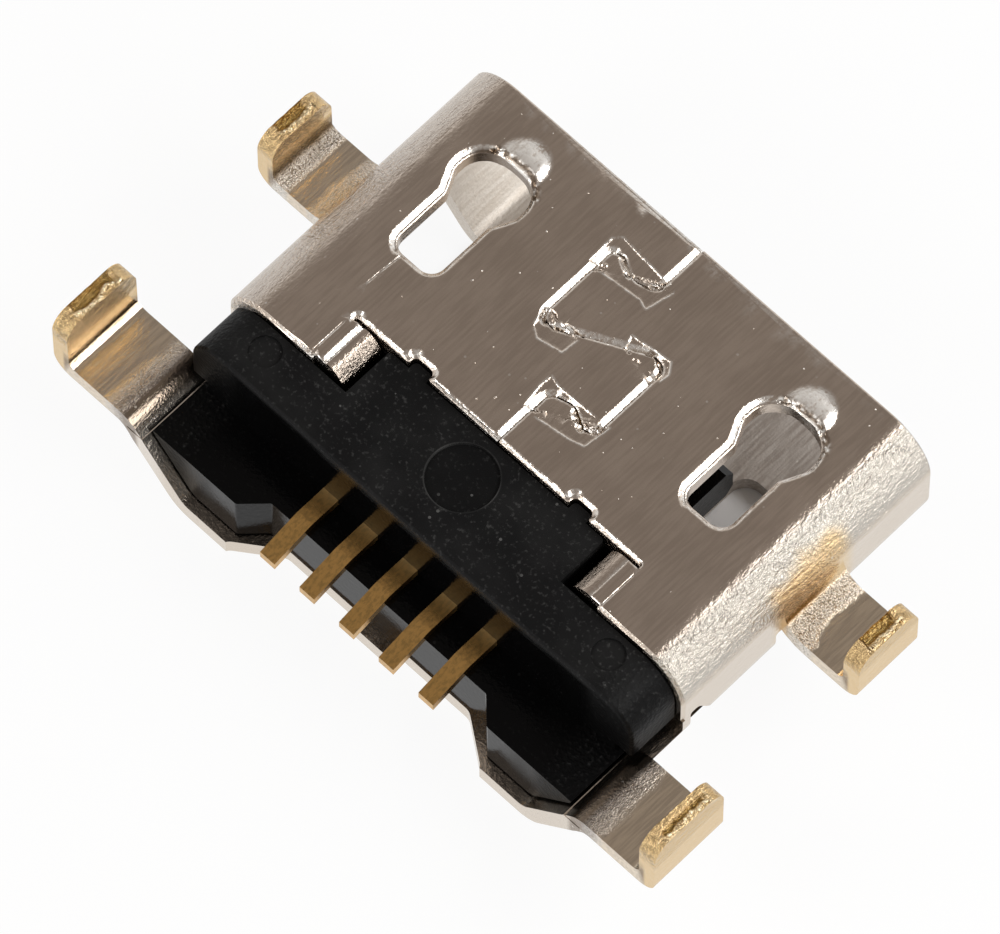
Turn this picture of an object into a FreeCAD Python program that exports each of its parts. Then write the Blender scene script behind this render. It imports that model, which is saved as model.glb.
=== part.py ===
import FreeCAD, Part
import math
import os

# Five-contact charging port, seen lying on the flat floor of its shell.
# X runs across the port, Y from the mouth (minus) to the tails (plus), Z up from the floor.
# The side walls of the shell end at Y = 0. All sizes are in millimetres.

# sheet metal shell
sheet = 0.25
shell_width = 7.44
shell_height = 2.40
shell_length = 4.20
top_corner_radius = 0.68
slope_top = 0.96
floor_width = 5.83
slope_bend_radius = 0.45
edge_roll = 0.04

# legs: four flat feet with tips that turn up through the board
leg_underside = 1.05
leg_reach = 1.20
leg_root_bend = 0.35
tip_outer_bend = 0.27
tip_inner_bend = 0.12
tip_corner_radius = 0.27
front_tip_top = 2.05
front_leg_width = 1.00
front_leg_middle = -2.20
rear_tip_top = 2.20
rear_leg_width = 1.15
rear_leg_middle = 1.15
relief_width = 0.49

# opening that the lanced front leg leaves in the lower corner of the shell
lance_clearance = 0.13
lance_floor_front = 0.52
lance_reach = 1.66
lance_corner_radius = 0.25

# rear edge of the floor
floor_overhang = 1.73
floor_middle_overhang = 1.29
floor_step_inner = 1.50
floor_step_outer = 2.12
carrier_stub_width = 0.52
carrier_stub_length = 0.17

# seam of the folded sheet
seam_gap = 0.03
seam_reach = 0.765
seam_middle = -2.52

# latch windows, one each side of the seam
window_centre = 2.36
window_slot_width = 0.68
window_head_width = 0.99
window_rear = -1.70
window_neck = -2.64
window_front = -3.43
window_corner_radius = 0.36
bump_height = 0.07
bump_radius = 0.33
bump_shift = 0.03
bump_place = 0.11

# notch in the top wall, with a retaining tab at each end of it
notch_depth = 0.74
notch_half_width = 2.32
tab_face = 1.86
tab_outer_bend = 0.30
tab_length = 0.64
tab_depth = 0.62
nib_place = 1.30
nib_width = 0.32
nib_depth = 0.12

# moulded housing
rear_block_inset = 0.12
rear_block_length = 0.74
raised_half_width = 1.75
step_height = 1.11
block_edge_radius = 0.05
middle_step_length = 1.27
lobe_length = 1.57
lobe_inner = 2.06
cavity_back = -0.95
tongue_width = 3.70
tongue_thickness = 0.56
tongue_front = -2.80
tongue_nose = 0.12
small_mark_radius = 0.21
small_mark_place = 2.80
small_mark_back = 0.30
large_mark_radius = 0.45
large_mark_back = -0.14
mark_depth = 0.03

# contacts
contact_count = 5
contact_pitch = 0.65
contact_width = 0.24
contact_thickness = 0.13
contact_front = -2.65
tail_end = 1.81
tail_drop = 0.14
tail_bend = 1.20

# clearances
side_gap = 0.02
slope_gap = 0.04
wing_gap = 0.02
tab_gap = 0.03
leg_gap = 0.02
contact_stand = 0.01

half_width = shell_width / 2
half_floor = floor_width / 2
mouth = -shell_length
leg_top = leg_underside + sheet
tip_face = half_width + leg_reach
side_straight_top = shell_height - top_corner_radius
far = 2 * shell_width


def plan(x, y):
    return FreeCAD.Vector(x, y, 0)


def cross(x, z):
    return FreeCAD.Vector(x, 0, z)


def lengthwise(y, z):
    return FreeCAD.Vector(0, y, z)


def rounded_corner(before, corner, after, radius):
    """Start, middle and end of the arc that rounds one corner."""
    back = (before - corner).normalize()
    ahead = (after - corner).normalize()
    half_angle = back.getAngle(ahead) / 2
    reach = radius / math.tan(half_angle)
    halfway = (back + ahead).normalize()
    centre = corner + halfway * (radius / math.sin(half_angle))
    return corner + back * reach, centre - halfway * radius, corner + ahead * reach


def rounded_path(corners, closed=True):
    """Wire through corners given as (point, radius)."""
    count = len(corners)
    pieces = []
    for index, (point, radius) in enumerate(corners):
        is_end = not closed and index in (0, count - 1)
        if radius > 0 and not is_end:
            before = corners[index - 1][0]
            after = corners[(index + 1) % count][0]
            pieces.append(rounded_corner(before, point, after, radius))
        else:
            pieces.append((point,))
    edges = []
    for index, piece in enumerate(pieces):
        if len(piece) == 3:
            edges.append(Part.Arc(*piece).toShape())
        if index < count - 1 or closed:
            following = pieces[(index + 1) % count]
            if piece[-1].distanceToPoint(following[0]) > 1e-6:
                edges.append(Part.makeLine(piece[-1], following[0]))
    return Part.Wire(edges)


def solid_from(corners, start, run):
    """Prism on a rounded outline: the outline is moved by start and drawn out along run."""
    face = Part.Face(rounded_path(corners))
    face.translate(start)
    return face.extrude(run)


def along_y(corners, y_from, y_to):
    placed = [(cross(x, z), radius) for x, z, radius in corners]
    return solid_from(placed, FreeCAD.Vector(0, y_from, 0), FreeCAD.Vector(0, y_to - y_from, 0))


def along_z(corners, z_from, z_to):
    placed = [(plan(x, y), radius) for x, y, radius in corners]
    return solid_from(placed, FreeCAD.Vector(0, 0, z_from), FreeCAD.Vector(0, 0, z_to - z_from))


def along_x(corners, x_from, x_to):
    placed = [(lengthwise(y, z), radius) for y, z, radius in corners]
    return solid_from(placed, FreeCAD.Vector(x_from, 0, 0), FreeCAD.Vector(x_to - x_from, 0, 0))


def box(x_from, x_to, y_from, y_to, z_from, z_to):
    corner = FreeCAD.Vector(x_from, y_from, z_from)
    return Part.makeBox(x_to - x_from, y_to - y_from, z_to - z_from, corner)


def mirrored(shape):
    """The same shape on the other side of the port."""
    return shape.mirror(FreeCAD.Vector(0, 0, 0), FreeCAD.Vector(1, 0, 0))


def both_sides(shape):
    return [shape, mirrored(shape)]


def slope_direction():
    """Unit vector up the sloping wall, from the floor to the side wall."""
    return FreeCAD.Vector(half_width - half_floor, 0, slope_top).normalize()


def slope_line(inset):
    """A point on the sloping wall moved inward by inset, and the way up it."""
    up = slope_direction()
    outward = FreeCAD.Vector(up.z, 0, -up.x)
    return cross(half_floor, 0) - outward * inset, up


def slope_at_height(inset, height):
    point, up = slope_line(inset)
    return point.x + up.x * (height - point.z) / up.z


def slope_at_side(inset, side):
    point, up = slope_line(inset)
    return point.z + up.z * (side - point.x) / up.x


def shell_outline(inset):
    """Cross-section of the shell: round upper corners, sloping lower corners."""
    side = half_width - inset
    bend = max(slope_bend_radius - inset, 0.08)
    half = [
        (side, shell_height - inset, top_corner_radius - inset),
        (side, slope_at_side(inset, side), bend),
        (slope_at_height(inset, inset), inset, bend),
    ]
    other = [(-x, z, radius) for x, z, radius in reversed(half)]
    return half + other


def shell_block(inset, y_from, y_to):
    return along_y(shell_outline(inset), y_from, y_to)


def keyhole_outline(grow):
    """Latch window: a slot at the back that widens to a round-cornered head."""
    slot = window_slot_width / 2 + grow
    head = window_head_width / 2 + grow
    shoulder = window_neck - 0.4 * (window_neck - window_front)
    right = [
        (window_centre + slot, window_rear + grow, 0.20 + grow),
        (window_centre + slot, window_neck, 0.15 - grow),
        (window_centre + head, shoulder, 0.18 + grow),
        (window_centre + head, window_front - grow, window_corner_radius + grow),
    ]
    left = [(2 * window_centre - x, y, radius) for x, y, radius in reversed(right)]
    return right + left


def rolled_opening(outline):
    """Cutter for an opening in the top wall, with the rolled-over edge that a punch leaves."""
    straight = along_z(outline(0), shell_height - 1.5 * sheet, shell_height + sheet)
    rims = []
    for grow, height in ((0, shell_height - edge_roll), (edge_roll, shell_height)):
        rim = rounded_path([(plan(x, y), radius) for x, y, radius in outline(grow)])
        rim.translate(FreeCAD.Vector(0, 0, height))
        rims.append(rim)
    return straight.fuse(Part.makeLoft(rims, True, True))


def seam_path():
    """S-shaped line along which the two ends of the sheet lock together."""
    wide = seam_reach
    rear_half = [
        (0.0, 0.5, 0.0),
        (0.0, seam_middle + 0.92, 0.14),
        (-0.42 * wide, seam_middle + 0.82, 0.22),
        (-0.80 * wide, seam_middle + 0.98, 0.07),
        (-wide, seam_middle + 0.92, 0.08),
        (-wide, seam_middle - 0.27, 0.14),
        (-0.72 * wide, seam_middle - 0.28, 0.14),
    ]
    front_half = [(-x, 2 * seam_middle - y, radius) for x, y, radius in reversed(rear_half)]
    corners = [(plan(x, y), radius) for x, y, radius in rear_half + front_half]
    return rounded_path(corners, closed=False)


def seam_slit():
    path = seam_path()
    path.translate(FreeCAD.Vector(0, 0, shell_height - 2 * sheet))
    start = path.OrderedVertexes[0].Point
    wide = FreeCAD.Vector(seam_gap / 2, 0, 0)
    tall = FreeCAD.Vector(0, 0, 3 * sheet)
    corners = [start - wide, start + wide, start + wide + tall, start - wide + tall, start - wide]
    return path.makePipeShell([Part.makePolygon(corners)], True, False)


def turned_up_tip(top):
    """Outer end of a leg's profile: flat foot, bend and upright tip."""
    outer = [
        (tip_face, leg_underside, tip_outer_bend),
        (tip_face, top, 0),
    ]
    inner = [
        (tip_face - sheet, top, 0),
        (tip_face - sheet, leg_top, tip_inner_bend),
    ]
    return outer + inner


def rear_leg():
    """Leg that leaves the sloping wall, runs out flat and turns up at its tip."""
    foot = leg_underside * 0.45
    low = cross(slope_at_height(0, foot), foot)
    up = slope_direction()
    outward = FreeCAD.Vector(up.z, 0, -up.x)
    high = low - outward * sheet
    start = [
        (high.x, high.z, 0),
        (low.x, low.z, 0),
        (slope_at_height(0, leg_underside), leg_underside, leg_root_bend / 2),
    ]
    end = [(slope_at_height(sheet, leg_top), leg_top, leg_root_bend)]
    outline = start + turned_up_tip(rear_tip_top) + end
    return finished_leg(outline, rear_leg_middle, rear_leg_width, rear_tip_top)


def front_leg():
    """Leg lanced from the lower corner of the shell and bent outward from the side wall."""
    start = [
        (half_width - sheet, side_straight_top, 0),
        (half_width - sheet, leg_underside, leg_root_bend + sheet),
    ]
    end = [
        (half_width, leg_top, leg_root_bend),
        (half_width, side_straight_top, 0),
    ]
    outline = start + turned_up_tip(front_tip_top) + end
    return finished_leg(outline, front_leg_middle, front_leg_width, front_tip_top)


def finished_leg(outline, middle, width, top):
    """Leg of one profile, with the two upper corners of its tip rounded."""
    leg = along_y(outline, middle - width / 2, middle + width / 2)
    corners = []
    for edge in leg.Edges:
        ends = [vertex.Point for vertex in edge.Vertexes]
        if len(ends) == 2 and min(end.z for end in ends) > top - 1e-4:
            if abs(ends[0].y - ends[1].y) < 1e-6:
                corners.append(edge)
    return leg.makeFillet(tip_corner_radius, corners)


def lance_opening():
    """Opening left in the side, slope and floor by the lanced front leg."""
    front = front_leg_middle - front_leg_width / 2
    back = front_leg_middle + front_leg_width / 2 + lance_clearance
    side = [
        (front - lance_clearance, -1, 0),
        (back, -1, 0),
        (back, leg_top, lance_clearance / 2.5),
        (front - lance_clearance, leg_top, lance_clearance / 2.5),
    ]
    low = [
        (lance_reach, front - lance_floor_front, lance_corner_radius),
        (far, front - lance_floor_front, 0),
        (far, back, 0),
        (lance_reach, back, lance_corner_radius / 2),
    ]
    upright = along_x(side, half_floor, half_width + sheet)
    flat = along_z(low, -1, slope_top * 0.86)
    return upright.fuse(flat)


def corner_relief():
    """Bend relief between the side wall and the rear end of the sloping wall."""
    back = -0.13
    top = leg_top + 0.06
    outline = [
        (back - relief_width, slope_top - 0.16, 0.05),
        (back, slope_top - 0.16, 0),
        (back, top, 0.05),
        (back - relief_width * 0.27, top, 0.10),
    ]
    return along_x(outline, half_width - 2 * sheet, half_width + sheet)


def rear_floor():
    """Floor and sloping walls behind the side walls, trimmed to their stepped rear edge."""
    hollow = shell_block(0, 0, floor_overhang).cut(shell_block(sheet, -1, floor_overhang + 1))
    low = hollow.common(box(-far, far, -1, far, -1, leg_underside))
    step = (floor_step_outer - floor_step_inner) * 0.3
    trim = [
        (floor_step_outer, floor_overhang + 1, 0),
        (floor_step_outer, floor_overhang, step),
        (floor_step_inner, floor_middle_overhang, step),
        (carrier_stub_width / 2, floor_middle_overhang, 0.03),
        (carrier_stub_width / 2, floor_middle_overhang + carrier_stub_length, 0),
    ]
    other = [(-x, y, radius) for x, y, radius in reversed(trim)]
    return low.cut(along_z(trim + other, -1, 2 * sheet))


def notch_outline(grow):
    """What is cut from the rear edge of the top wall, with two small nib seats."""
    edge = -notch_depth - grow
    left = nib_place - nib_width / 2 - grow
    right = nib_place + nib_width / 2 + grow
    side = max(notch_half_width, tab_face + tab_outer_bend)
    half = [
        (left, edge, 0.03),
        (left, edge - nib_depth, 0.08),
        (right, edge - nib_depth, 0.08),
        (right, edge, 0.03),
        (side, edge, 0.05),
        (side, 1, 0),
    ]
    other = [(-x, y, radius) for x, y, radius in reversed(half)]
    return half + other


def rear_edge_roll():
    """Ring cut from the rear edge of the top and side walls to roll it over."""
    rims = []
    for inset, y in ((0, -edge_roll), (edge_roll, 0)):
        rim = rounded_path([(cross(x, z), radius) for x, z, radius in shell_outline(inset)])
        rim.translate(FreeCAD.Vector(0, y, 0))
        rims.append(rim)
    above_legs = box(-far, far, -edge_roll, 0, leg_top, far)
    return above_legs.cut(Part.makeLoft(rims, True, True))


def retaining_tab():
    """Inner edge of a wing, bent down into the housing."""
    inner_bend = max(tab_outer_bend - sheet, 0.02)
    root = max(notch_half_width, tab_face + tab_outer_bend) + 0.1
    outline = [
        (root, shell_height, 0),
        (tab_face, shell_height, tab_outer_bend),
        (tab_face, shell_height - tab_depth, 0),
        (tab_face + sheet, shell_height - tab_depth, 0),
        (tab_face + sheet, shell_height - sheet, inner_bend),
        (root, shell_height - sheet, 0),
    ]
    middle = -notch_depth / 2
    return along_y(outline, middle - tab_length / 2, middle + tab_length / 2)


def latch_bumps(shell):
    """Low domes pressed up in front of the latch windows."""
    radius = (bump_radius ** 2 + bump_height ** 2) / (2 * bump_height)
    top = shell_height + bump_height - radius
    centre = FreeCAD.Vector(window_centre - bump_shift, window_front - bump_place, top)
    window = along_z(keyhole_outline(edge_roll), 0, shell_height + 1)
    slab = box(0, half_width, mouth, 0, shell_height - sheet / 2, shell_height + 1)
    dome = Part.makeSphere(radius, centre).common(slab).cut(window)
    hollow = Part.makeSphere(radius - sheet, centre)
    shell = shell.fuse(both_sides(dome))
    return shell.cut(both_sides(hollow))


def rounded_mouth(tube):
    """Takes the sharpness off both edges of the mouth."""
    edges = [edge for edge in tube.Edges if abs(edge.BoundBox.YMax - mouth) < 1e-4]
    return tube.makeFillet(edge_roll, edges)


def build_shell():
    tube = rounded_mouth(shell_block(0, mouth, 0).cut(shell_block(sheet, mouth - 1, 1)))
    openings = [rolled_opening(notch_outline), seam_slit(), rear_edge_roll()]
    openings += both_sides(rolled_opening(keyhole_outline))
    openings += both_sides(lance_opening())
    openings += both_sides(corner_relief())
    shell = tube.cut(openings)
    additions = [rear_floor()]
    additions += both_sides(front_leg())
    additions += both_sides(rear_leg())
    additions += both_sides(retaining_tab())
    shell = shell.fuse(additions)
    return latch_bumps(shell).removeSplitter()


def contact_top(contact_place):
    """Height of the contact face on the tongue."""
    return step_height + contact_stand + contact_place


def contact(index):
    """One contact: straight blade on the tongue, tail sloping down to its end."""
    x = (contact_count - 1) * contact_pitch / 2 - index * contact_pitch
    top = contact_top(contact_thickness)
    low = contact_top(0)
    outline = [
        (contact_front, low, 0),
        (tail_bend, low, 0.25),
        (tail_end, low - tail_drop, 0),
        (tail_end, top - tail_drop, 0),
        (tail_bend, top, 0.25),
        (contact_front, top, 0.06),
    ]
    return along_x(outline, x - contact_width / 2, x + contact_width / 2)


def core():
    """Housing inside the shell, behind the cavity for the plug."""
    inside = shell_block(sheet + side_gap, cavity_back, rear_block_length)
    low = box(-far, far, -far, far, -1, leg_underside)
    slopes = shell_block(sheet + slope_gap, cavity_back, rear_block_length).common(low)
    upper = inside.cut(box(-far, far, wing_gap, far, -1, shell_height + 1)).cut(low)
    return upper.fuse([slopes, floor_pad()])


def floor_pad():
    """Underside of the housing, resting on the floor of the shell."""
    half = slope_at_height(sheet, sheet) - slope_bend_radius / 2
    return box(-half, half, cavity_back, middle_step_length, sheet, sheet + 2 * slope_gap)


def rear_block():
    """Upper block behind the wings, a little inside the outline of the shell."""
    block = shell_block(rear_block_inset, wing_gap, rear_block_length)
    rear_edges = [edge for edge in block.Edges if edge.BoundBox.YMin > rear_block_length - 1e-4]
    block = block.makeFillet(block_edge_radius, rear_edges)
    above_legs = box(-far, far, -far, far, leg_top + leg_gap, far)
    low = leg_underside - 0.1
    middle = slope_at_height(sheet + slope_gap, low)
    centre = box(-middle, middle, wing_gap, rear_block_length, low, shell_height / 2 + 0.4)
    return block.common(above_legs).fuse(centre)


def raised_middle():
    """Part of the top that fills the notch in the sheet, with its two nibs."""
    top = shell_height - rear_block_inset
    front = -notch_depth + side_gap
    half_nib = nib_width / 2 - side_gap
    half = [
        (nib_place - half_nib, front, 0),
        (nib_place - half_nib, front - nib_depth, 0.06),
        (nib_place + half_nib, front - nib_depth, 0.06),
        (nib_place + half_nib, front, 0),
        (raised_half_width, front, 0.05),
        (raised_half_width, wing_gap + 0.1, 0),
    ]
    other = [(-x, y, radius) for x, y, radius in reversed(half)]
    return along_z(half + other, shell_height - sheet - 0.2, top)


def tab_slots():
    """Slots that take the retaining tabs of the wings."""
    slot = box(
        raised_half_width,
        tab_face + sheet + tab_gap,
        -notch_depth + side_gap,
        wing_gap,
        shell_height - tab_depth - tab_gap,
        shell_height + 1,
    )
    return both_sides(slot)


def step_block():
    """Lower block with a lobe at each end, under and beside the tails."""
    block = shell_block(sheet + slope_gap, rear_block_length - 0.1, lobe_length)
    low = block.common(box(-far, far, -far, far, -1, step_height))
    half = [
        (0, rear_block_length - 0.2, 0),
        (far, rear_block_length - 0.2, 0),
        (far, lobe_length, 0),
        (lobe_inner, lobe_length, 0.05),
        (lobe_inner - (lobe_length - middle_step_length), middle_step_length, 0.05),
    ]
    other = [(-x, y, radius) for x, y, radius in reversed(half[1:])]
    return low.common(along_z(half + other, -1, far))


def tongue():
    """Blade in the cavity that carries the contacts on its upper face."""
    top = contact_top(contact_thickness * 0.7)
    half = tongue_width / 2
    outline = [
        (cavity_back + 0.1, top, 0),
        (tongue_front + tongue_nose, top, 0),
        (tongue_front, top - tongue_nose, 0),
        (tongue_front, top - tongue_thickness + tongue_nose, 0),
        (tongue_front + tongue_nose, top - tongue_thickness, 0),
        (cavity_back + 0.1, top - tongue_thickness, 0),
    ]
    return along_x(outline, -half, half)


def ejector_mark(x, y, radius):
    top = shell_height - rear_block_inset
    return Part.makeCylinder(radius, 1, FreeCAD.Vector(x, y, top - mark_depth))


def build_housing(contacts):
    body = core().fuse([rear_block(), raised_middle(), step_block(), tongue()])
    cuts = tab_slots() + list(contacts)
    cuts += both_sides(ejector_mark(small_mark_place, small_mark_back, small_mark_radius))
    cuts.append(ejector_mark(0, large_mark_back, large_mark_radius))
    return body.cut(cuts).removeSplitter()


def write(shape, name):
    shape.exportStep("parts/" + name + ".step")
    print(name, "volume", round(shape.Volume, 4), "solids", len(shape.Solids), "valid", shape.isValid())


os.makedirs("parts", exist_ok=True)
contacts = [contact(index) for index in range(contact_count)]
write(build_shell(), "shell")
write(build_housing(contacts), "housing")
for index, piece in enumerate(contacts):
    write(piece, "contact_" + str(index + 1))
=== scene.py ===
import math

import bmesh
import bpy
import numpy as np
from mathutils import Matrix, Vector, noise
from mathutils.bvhtree import BVHTree
from mathutils.geometry import delaunay_2d_cdt


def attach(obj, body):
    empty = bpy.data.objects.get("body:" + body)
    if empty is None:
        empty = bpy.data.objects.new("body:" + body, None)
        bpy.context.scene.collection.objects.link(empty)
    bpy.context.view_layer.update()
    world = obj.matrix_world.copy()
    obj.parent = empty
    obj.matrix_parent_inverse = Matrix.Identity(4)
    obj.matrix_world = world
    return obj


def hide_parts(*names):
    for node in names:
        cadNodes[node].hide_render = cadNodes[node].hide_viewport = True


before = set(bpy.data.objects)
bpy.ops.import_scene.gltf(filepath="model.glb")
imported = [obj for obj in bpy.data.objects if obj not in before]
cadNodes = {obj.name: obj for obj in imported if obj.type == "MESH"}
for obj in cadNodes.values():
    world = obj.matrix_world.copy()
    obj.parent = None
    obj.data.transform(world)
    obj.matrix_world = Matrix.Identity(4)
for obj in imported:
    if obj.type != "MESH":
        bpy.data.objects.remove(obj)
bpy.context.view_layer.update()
mm = 0.001  # the frame is in metres, the sizes below are in millimetres


# shader helpers

def addNode(tree, kind, inputs=None, **settings):
    node = tree.nodes.new(kind)
    for name, value in settings.items():
        setattr(node, name, value)
    for name, value in (inputs or {}).items():
        if isinstance(value, bpy.types.NodeSocket):
            tree.links.new(value, node.inputs[name])
        else:
            node.inputs[name].default_value = value
    return node


def calc(tree, operation, first, second=0.0, third=0.0):
    values = {0: first, 1: second}
    if operation == "MULTIPLY_ADD":
        values[2] = third
    return addNode(tree, "ShaderNodeMath", values, operation=operation).outputs[0]


def product(tree, *masks):
    result = masks[0]
    for mask in masks[1:]:
        result = calc(tree, "MULTIPLY", result, mask)
    return result


def ramp(tree, value, low, high, toLow=0.0, toHigh=1.0):
    return addNode(tree, "ShaderNodeMapRange",
                   {"Value": value, "From Min": low, "From Max": high, "To Min": toLow, "To Max": toHigh},
                   interpolation_type="SMOOTHSTEP").outputs["Result"]


def mixColour(tree, factor, first, second):
    return addNode(tree, "ShaderNodeMix", {0: factor, 6: first, 7: second}, data_type="RGBA").outputs[2]


def paint(tree, under, colour, mask, share=1.0):
    # lays a colour over another one where the mask is, up to the share
    return mixColour(tree, product(tree, mask, share), under, colour)


def separate(tree, vector):
    return addNode(tree, "ShaderNodeSeparateXYZ", {0: vector}).outputs


def millimetres(tree):
    place = addNode(tree, "ShaderNodeTexCoord").outputs["Object"]
    return addNode(tree, "ShaderNodeVectorMath", {0: place, "Scale": 1000.0}, operation="SCALE").outputs[0]


def offMiddle(tree, value, middle):
    # distance to either side of the middle
    return calc(tree, "ABSOLUTE", calc(tree, "SUBTRACT", value, middle))


def fromSpot(tree, across, along, spot):
    # distance from a spot, seen from above
    away = addNode(tree, "ShaderNodeCombineXYZ", {0: calc(tree, "SUBTRACT", across, spot[0]),
                                                  1: calc(tree, "SUBTRACT", along, spot[1])}).outputs[0]
    return addNode(tree, "ShaderNodeVectorMath", {0: away}, operation="LENGTH").outputs["Value"]


def zoneMasks(tree, measures, zones):
    # a zone has one or more limits: a measure, where the zone begins along it and where it is full
    return {name: product(tree, *[ramp(tree, measures[label], begin, full) for label, begin, full in limits])
            for name, limits in zones.items()}


def newTree(name, treeKind, inputs, outputs):
    # gives the tree, the sockets inside it and the identifiers of its inputs
    tree = bpy.data.node_groups.new(name, treeKind)
    identifiers = {}
    for label, kind, value in inputs:
        socket = tree.interface.new_socket(label, in_out="INPUT", socket_type="NodeSocket" + kind)
        if value is not None:
            socket.default_value = value
        identifiers[label] = socket.identifier
    for label, kind in outputs:
        tree.interface.new_socket(label, in_out="OUTPUT", socket_type="NodeSocket" + kind)
    given, out = tree.nodes.new("NodeGroupInput").outputs, tree.nodes.new("NodeGroupOutput")
    return tree, given, out, identifiers


def newMaterial(name):
    material = bpy.data.materials.new(name)
    material.use_nodes = True
    tree = material.node_tree
    tree.nodes.clear()
    return material, tree


def endMaterial(tree, shader):
    output = addNode(tree, "ShaderNodeOutputMaterial")
    tree.links.new(shader.outputs[0], output.inputs["Surface"])


def coat(tree, colour, rough, raised, depth, metallic, specular=0.5):
    # the surface itself, with its grain raised by up to the depth in millimetres
    bump = addNode(tree, "ShaderNodeBump", {"Height": raised, "Strength": 1.0, "Distance": depth * mm})
    surface = addNode(tree, "ShaderNodeBsdfPrincipled",
                      {"Base Color": colour, "Metallic": metallic, "Roughness": rough,
                       "Specular IOR Level": specular, "Normal": bump.outputs[0]})
    endMaterial(tree, surface)


# shared surface effects

def clouds(tree, place, scale, detail, roughness=0.5):
    return addNode(tree, "ShaderNodeTexNoise", {"Vector": place, "Scale": scale, "Detail": detail,
                                                "Roughness": roughness}).outputs[0]


def stretch(tree, place, scale):
    return addNode(tree, "ShaderNodeMapping", {"Vector": place, "Scale": scale}).outputs[0]


def makeRollingGrain():
    # fine pits and rolling streaks of plated sheet, as a height and a mask of the bright specks
    group, given, out, identifiers = newTree(
        "rollingGrain", "ShaderNodeTree",
        [("Place", "Vector", None), ("Pit Scale", "Float", 22.0), ("Streak Scale", "Float", 9.0),
         ("Streak Share", "Float", 0.35), ("Speck Size", "Float", 0.1)],
        [("Height", "Float"), ("Specks", "Float"), ("Cloud", "Float"), ("Brush", "Float")])
    place = given["Place"]
    pits = clouds(group, place, given["Pit Scale"], 3.0, 0.55)
    streaks = clouds(group, stretch(group, place, (2.4, 0.75, 2.4)), given["Streak Scale"], 4.0, 0.6)
    height = addNode(group, "ShaderNodeMix", {0: given["Streak Share"], 2: pits, 3: streaks}).outputs[0]
    cells = addNode(group, "ShaderNodeTexVoronoi", {"Vector": place, "Scale": 5.0}).outputs["Distance"]
    dots = calc(group, "LESS_THAN", cells, given["Speck Size"])
    specks = product(group, dots, ramp(group, clouds(group, place, 1.7, 1.0), 0.48, 0.6))
    brush = clouds(group, stretch(group, place, (9.0, 0.7, 9.0)), 3.0, 3.0)
    results = {"Height": height, "Specks": specks, "Cloud": clouds(group, place, 1.3, 3.0), "Brush": brush}
    for label, socket in results.items():
        group.links.new(socket, out.inputs[label])
    return group


rollingGrain = makeRollingGrain()
print("shared effects ready")


def placeGrain(tree, place, values):
    return addNode(tree, "ShaderNodeGroup", {"Place": place, **values}, node_tree=rollingGrain).outputs


shellPlaces = {  # places that the shell's finish and its shape share, millimetres
    "frontLegs": -2.2,  # middle of the front legs along the port
    "window": 2.36,  # middle of the window on the +X side
    "dome": (2.33, -3.54),  # middle of a latch dome on the +X side
    "tipFoot": 1.3,  # the legs turn up from here
}

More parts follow.
